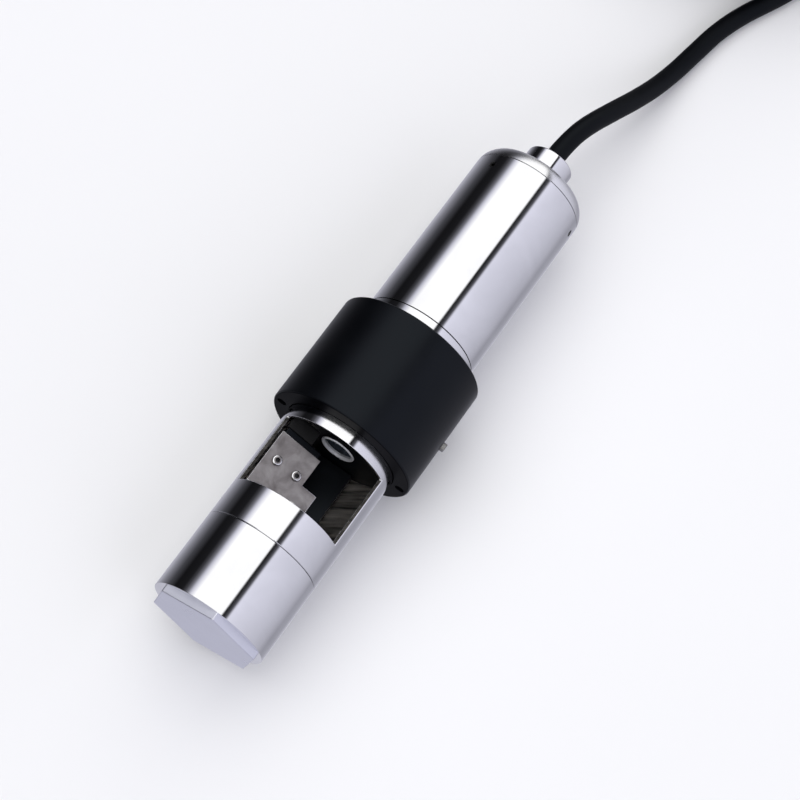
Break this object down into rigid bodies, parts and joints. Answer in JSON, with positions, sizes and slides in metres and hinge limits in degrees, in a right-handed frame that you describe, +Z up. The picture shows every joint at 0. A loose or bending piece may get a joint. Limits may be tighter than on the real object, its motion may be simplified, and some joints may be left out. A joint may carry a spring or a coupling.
{
  "type": "water quality probe",
  "caption": "Round stainless steel in-situ water quality probe with an open sample window, a motor-driven wiper over its lens, a black mounting collar and a coiled cable.",
  "frame": {"origin": "below the middle of the probe's length, on the surface that its collar lies on", "axes": "+X along the probe from the hexagon end to the cable end, +Z up, out of the sample window"},
  "size_m": [0.7236, 0.1208, 0.0782],
  "materials": {
    "polished_steel": "mirror polished stainless steel with fine lengthwise lines",
    "satin_steel": "satin stainless steel sheet and rod",
    "screw_steel": "plain stainless screws",
    "black_acetal": "turned black acetal, satin",
    "black_rubber": "matt black rubber",
    "cable_jacket": "matt black polyurethane jacket",
    "cable_end": "black sleeve with four coloured cores and crimped ferrules",
    "strap": "black woven hook and loop strap",
    "lens_glass": "sapphire, polished",
    "bronze": "plain bronze and brass",
    "circuit_board": "green solder mask with black and silver components",
    "bright_can": "plain metal cans",
    "terminal_plastic": "moulded green plastic"
  },
  "bodies": {
    "probe": {"board_rail_1": "satin_steel", "board_rail_2": "satin_steel", "board_screw_1": "screw_steel", "board_screw_2": "screw_steel", "cable_end": "cable_end", "cable_gland": "polished_steel", "cable_hank": "cable_jacket", "cable_run": "cable_jacket", "cable_tail": "cable_jacket", "cap_o_ring": "black_rubber", "cap_set_screw_1": "screw_steel", "cap_set_screw_2": "screw_steel", "cap_set_screw_3": "screw_steel", "chamber_tube": "polished_steel", "collar_set_screw": "screw_steel", "gearbox": "bright_can", "gland_nut": "satin_steel", "gland_seal": "black_rubber", "hank_strap": "strap", "inner_cable": "cable_jacket", "lens": "lens_glass", "lens_gasket": "black_rubber", "lens_nut": "satin_steel", "lens_ring": "polished_steel", "light_source_1": "lens_glass", "light_source_2": "lens_glass", "lower_bulkhead": "black_acetal", "lower_bulkhead_o_ring": "black_rubber", "lower_housing": "polished_steel", "lower_housing_o_ring": "black_rubber", "main_board": "circuit_board", "motor_can": "bright_can", "motor_lead": "cable_jacket", "motor_plate": "satin_steel", "motor_plug": "terminal_plastic", "motor_screw_1": "screw_steel", "motor_screw_2": "screw_steel", "mounting_collar": "black_acetal", "optic_board": "circuit_board", "optic_standoff_1": "bronze", "optic_standoff_2": "bronze", "photodiode": "bright_can", "shaft_bush": "bronze", "shaft_seal": "black_rubber", "terminal_block": "terminal_plastic", "top_cap": "polished_steel", "upper_bulkhead": "black_acetal", "upper_bulkhead_o_ring": "black_rubber", "upper_housing": "polished_steel", "upper_housing_o_ring": "black_rubber", "wire_duct": "black_acetal"},
    "wiper": {"wiper_shaft": "satin_steel", "wiper_hub": "polished_steel", "wiper_bracket": "satin_steel", "blade_block": "black_acetal", "wiper_blade": "black_rubber", "bracket_screw_1": "screw_steel", "bracket_screw_2": "screw_steel", "hub_screw": "screw_steel"}
  },
  "joints": [
    {"name": "wiper_swing", "type": "hinge", "parent": "probe", "child": "wiper", "pos_m": [-0.085, 0, 0.0551], "axis": [1, 0, 0], "range_deg": [-150, 0]}
  ]
}
